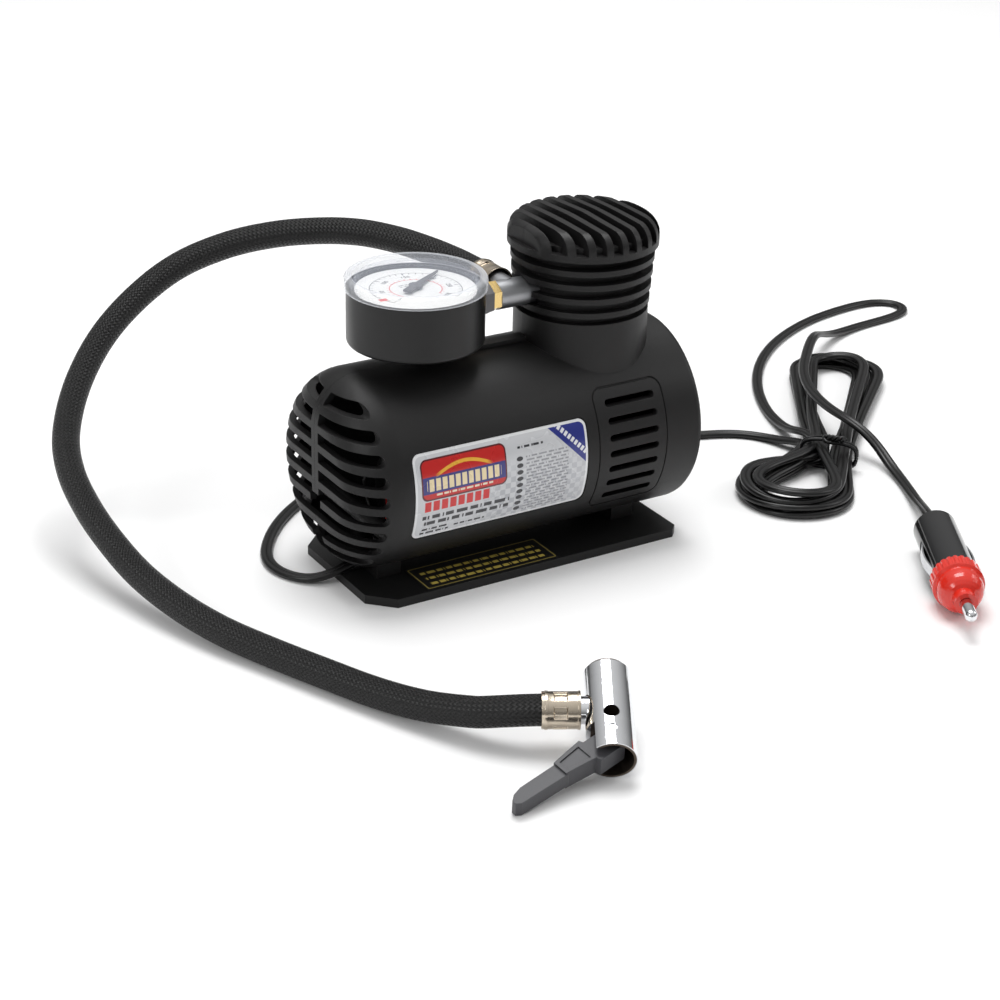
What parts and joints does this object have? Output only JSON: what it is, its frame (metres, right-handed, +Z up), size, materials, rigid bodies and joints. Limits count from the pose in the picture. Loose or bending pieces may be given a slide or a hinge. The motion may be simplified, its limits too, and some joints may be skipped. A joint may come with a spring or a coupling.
{
  "type": "portable tire inflator",
  "caption": "Barrel-shaped 12 V tire inflator on a base plate, with a finned pump head, round pressure gauge, braided hose with thumb-lock chuck, and a tied cord with car-socket plug.",
  "frame": {"origin": "on the standing surface, under the middle of the base plate", "axes": "+X along the barrel towards the pump head, the label faces -Y, +Z up"},
  "size_m": [0.4643, 0.309, 0.1274],
  "materials": {
    "black_shell": "fine-textured matt black polymer",
    "dark_trim": "dark grey moulded polymer, satin",
    "label_film": "silver film with printed colour blocks",
    "black_film": "black film with pale bars",
    "dark_steel": "black oxide steel screws",
    "bright_steel": "bright zinc or ground steel",
    "ferrite": "sintered ferrite, matt",
    "core_iron": "stacked lamination edges",
    "carbon": "sooty carbon brush block",
    "bronze": "sintered bronze, oily",
    "brass": "machined brass",
    "copper": "lacquered copper",
    "acetal": "off-white acetal gear stock",
    "diecast": "die-cast alloy, lightly grained",
    "black_rubber": "black rubber",
    "gauge_shell": "semi-gloss black polymer",
    "dial_face": "white printed dial",
    "needle_grey": "dark grey painted metal",
    "clear_cover": "clear polycarbonate",
    "stem_grey": "dark grey coated hex stem",
    "wire_red_black": "PVC insulated wires, one red and one black",
    "braid": "black woven braid over rubber",
    "ferrule_metal": "warm nickel-plated brass",
    "chrome": "polished chrome plating",
    "lever_grey": "dark grey glass-filled polymer",
    "flex_black": "black PVC twin flex, satin",
    "plug_black": "polished black polymer",
    "plug_red": "red translucent-looking polymer",
    "spring_steel": "drawn spring wire",
    "fuse_glass": "glass tube with metal caps"
  },
  "bodies": {
    "inflator": {"front_housing": "black_shell", "rear_housing": "black_shell", "housing_screws": "dark_steel", "base_plate": "dark_trim", "base_screws": "dark_steel", "front_label": "label_film", "base_label": "black_film", "motor_can": "bright_steel", "motor_magnets": "ferrite", "motor_end_cap": "dark_trim", "motor_bushings": "bronze", "motor_brushes": "carbon", "motor_terminals": "brass", "motor_screws": "bright_steel", "gear_frame": "diecast", "gear_shaft": "bright_steel", "cylinder": "diecast", "head_gasket": "black_rubber", "cylinder_head": "diecast", "head_screws": "bright_steel", "outlet_nut": "brass", "gauge_stem": "stem_grey", "gauge_case": "gauge_shell", "gauge_dial": "dial_face", "gauge_cover": "clear_cover", "bourdon_tube": "brass", "lead_wires": "wire_red_black", "cord_gland": "black_rubber", "hose": "braid", "hose_barbs": "brass", "hose_ferrules": "ferrule_metal", "chuck_body": "chrome", "chuck_seal": "black_rubber", "lever_pin": "bright_steel", "cord_lead": "flex_black", "cord_hank": "flex_black", "cord_tie": "dark_trim", "cord_tail": "flex_black", "plug_body": "plug_black", "plug_cap": "plug_red", "plug_fuse": "fuse_glass", "plug_contacts": "bright_steel"},
    "rotor": {"armature_core": "core_iron", "armature_windings": "copper", "commutator": "copper", "motor_shaft": "bright_steel", "motor_pinion": "brass"},
    "crank": {"drive_gear": "acetal", "crank_pin": "bright_steel"},
    "piston_set": {"piston": "diecast", "piston_seal": "black_rubber", "wrist_pin": "bright_steel"},
    "rod": {"connecting_rod": "diecast"},
    "needle": {"gauge_needle": "needle_grey"},
    "lever": {"chuck_lever": "lever_grey"},
    "core_pin": {"chuck_pin": "brass"},
    "valve": {"outlet_valve": "black_rubber", "valve_spring": "spring_steel"},
    "tip": {"plug_tip": "chrome", "plug_spring": "spring_steel"}
  },
  "joints": [
    {"name": "rotor_spin", "type": "hinge", "parent": "inflator", "child": "rotor", "pos_m": [0, 0, 0.028], "axis": [1, 0, 0], "continuous": true},
    {"name": "crank_spin", "type": "hinge", "parent": "inflator", "child": "crank", "pos_m": [0, 0, 0.048], "axis": [1, 0, 0], "continuous": true},
    {"name": "piston_slide", "type": "slide", "parent": "inflator", "child": "piston_set", "axis": [0, 0, 1], "range_m": [0, 0.0116]},
    {"name": "rod_swing", "type": "hinge", "parent": "piston_set", "child": "rod", "pos_m": [0.038, 0, 0.0724], "axis": [1, 0, 0], "range_deg": [-11, 11]},
    {"name": "needle_sweep", "type": "hinge", "parent": "inflator", "child": "needle", "pos_m": [-0.0335, 0, 0.1096], "axis": [0, 0, -1], "range_deg": [0, 270], "stiffness_Nm_per_rad": 0.0004},
    {"name": "lever_turn", "type": "hinge", "parent": "inflator", "child": "lever", "pos_m": [-0.05205, -0.16121, 0.01022], "axis": [0.1294, 0.2241, -0.9659], "range_deg": [-50, 40]},
    {"name": "core_pin_slide", "type": "slide", "parent": "inflator", "child": "core_pin", "axis": [0.483, 0.8365, 0.2588], "range_m": [-0.0008, 0.0006]},
    {"name": "valve_lift", "type": "slide", "parent": "inflator", "child": "valve", "axis": [0, 0, 1], "range_m": [0, 0.001], "stiffness_N_per_m": 60, "springref_m": -0.001},
    {"name": "tip_press", "type": "slide", "parent": "inflator", "child": "tip", "axis": [0.515, 0.8572, 0], "range_m": [0, 0.004], "stiffness_N_per_m": 700, "springref_m": -0.003}
  ],
  "couplings": [
    {"joint": "crank_spin", "follows": "rotor_spin", "ratio": -0.21951},
    {"joint": "core_pin_slide", "follows": "lever_turn", "m_per_rad": 0.0008}
  ]
}
